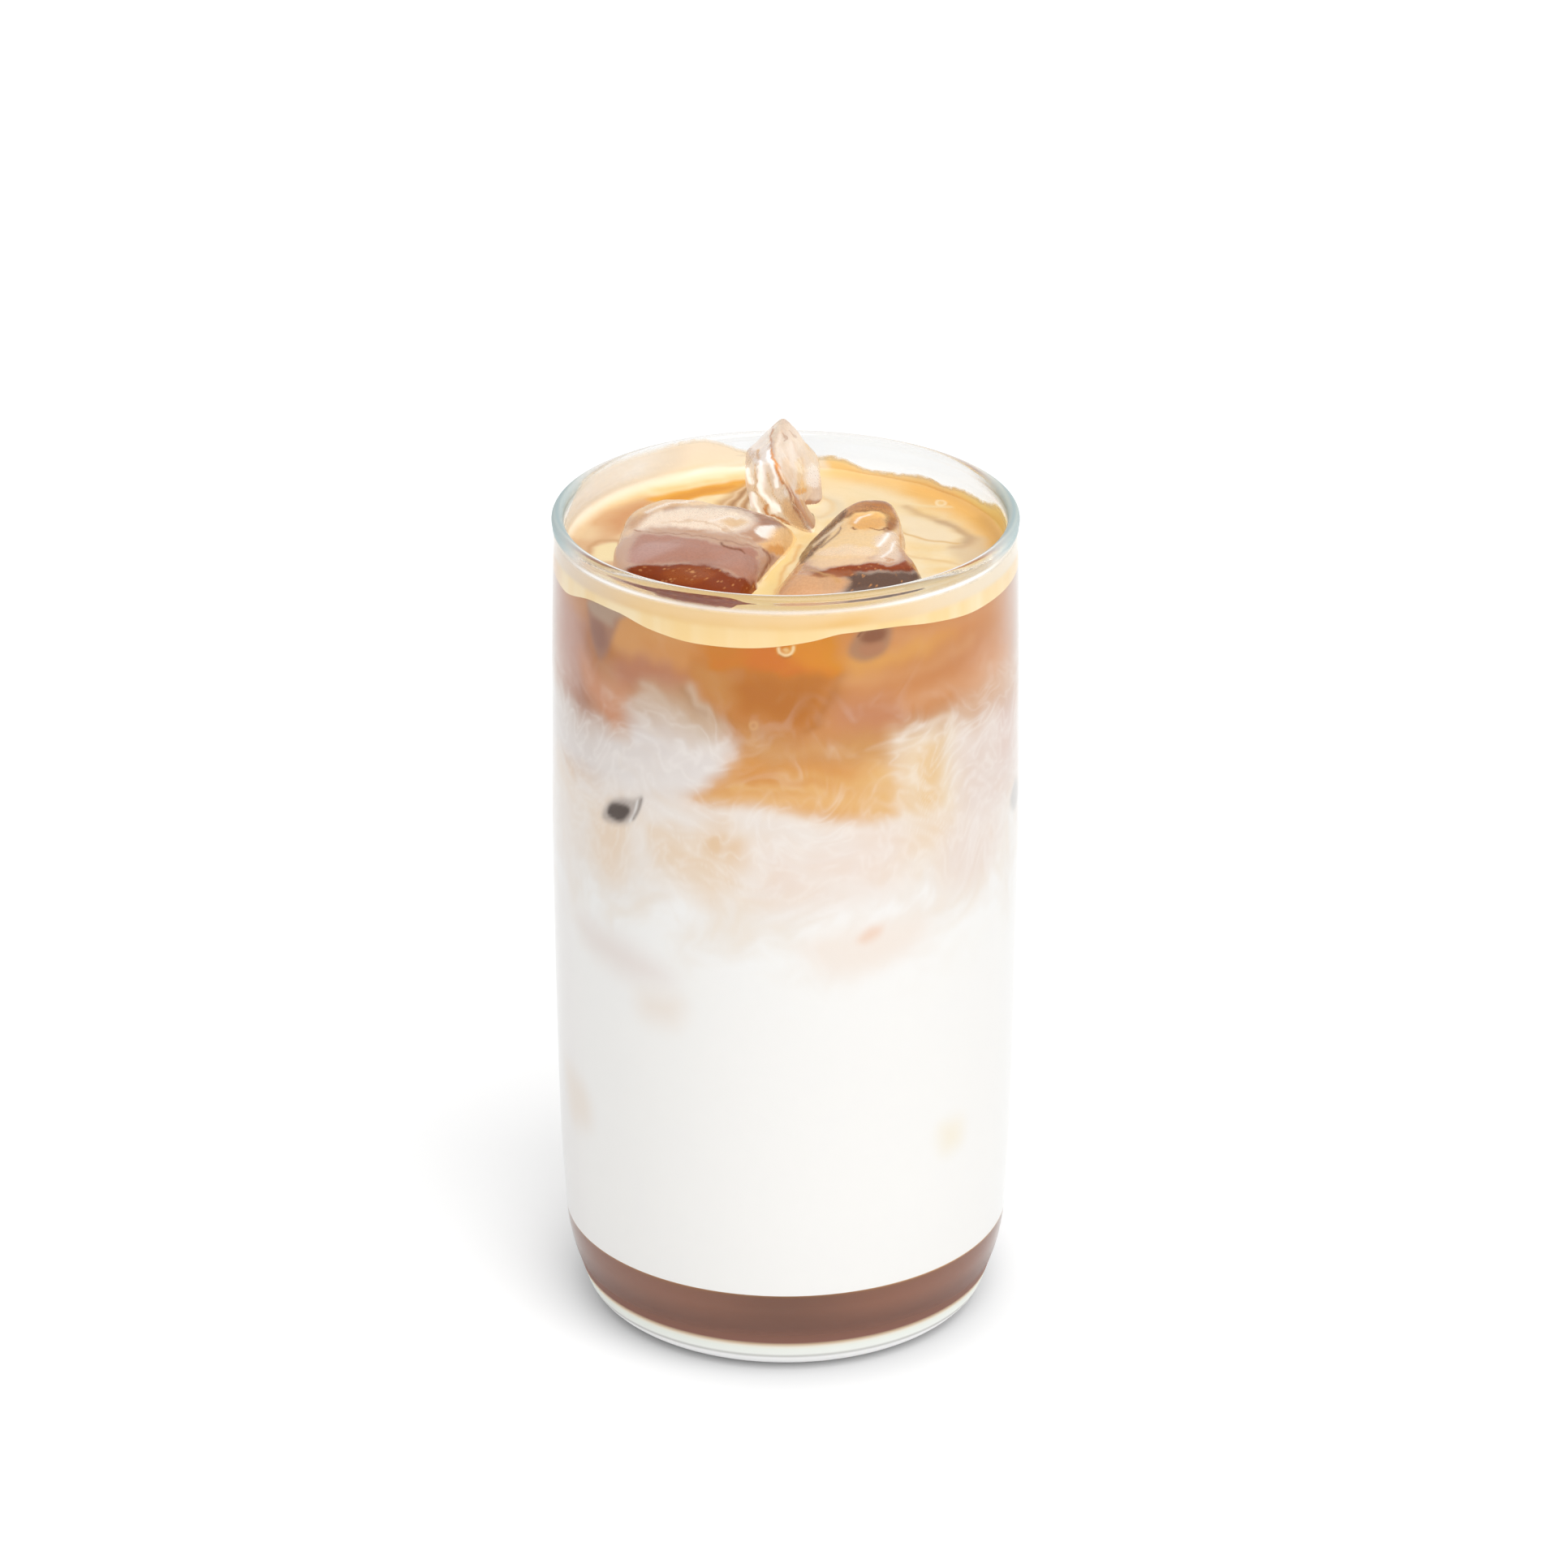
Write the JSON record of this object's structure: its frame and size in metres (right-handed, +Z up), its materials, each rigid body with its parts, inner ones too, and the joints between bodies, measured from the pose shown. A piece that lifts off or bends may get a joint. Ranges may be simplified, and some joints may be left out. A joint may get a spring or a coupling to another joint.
{
  "type": "iced caramel macchiato",
  "caption": "Iced caramel macchiato in a clear tumbler: caramel syrup, milk and coffee in layers, a crema top, and clear ice standing out of it.",
  "frame": {"origin": "centre of the foot's underside, on the table", "axes": "+Z up along the tumbler's axis, -Y towards the front that the picture shows"},
  "size_m": [0.0764, 0.0764, 0.1448],
  "materials": {
    "glass": "clear, polished",
    "syrup": "caramel syrup, smooth and wet",
    "milk": "milk, smooth",
    "coffee": "coffee with milk swirled in, smooth",
    "crema": "fine coffee foam, satin",
    "ice": "clear wet ice"
  },
  "bodies": {
    "root": {"glass": "glass", "syrup": "syrup", "milk": "milk", "coffee": "coffee", "crema": "crema", "ice_left": "ice", "ice_right": "ice", "ice_back": "ice"}
  },
  "joints": []
}
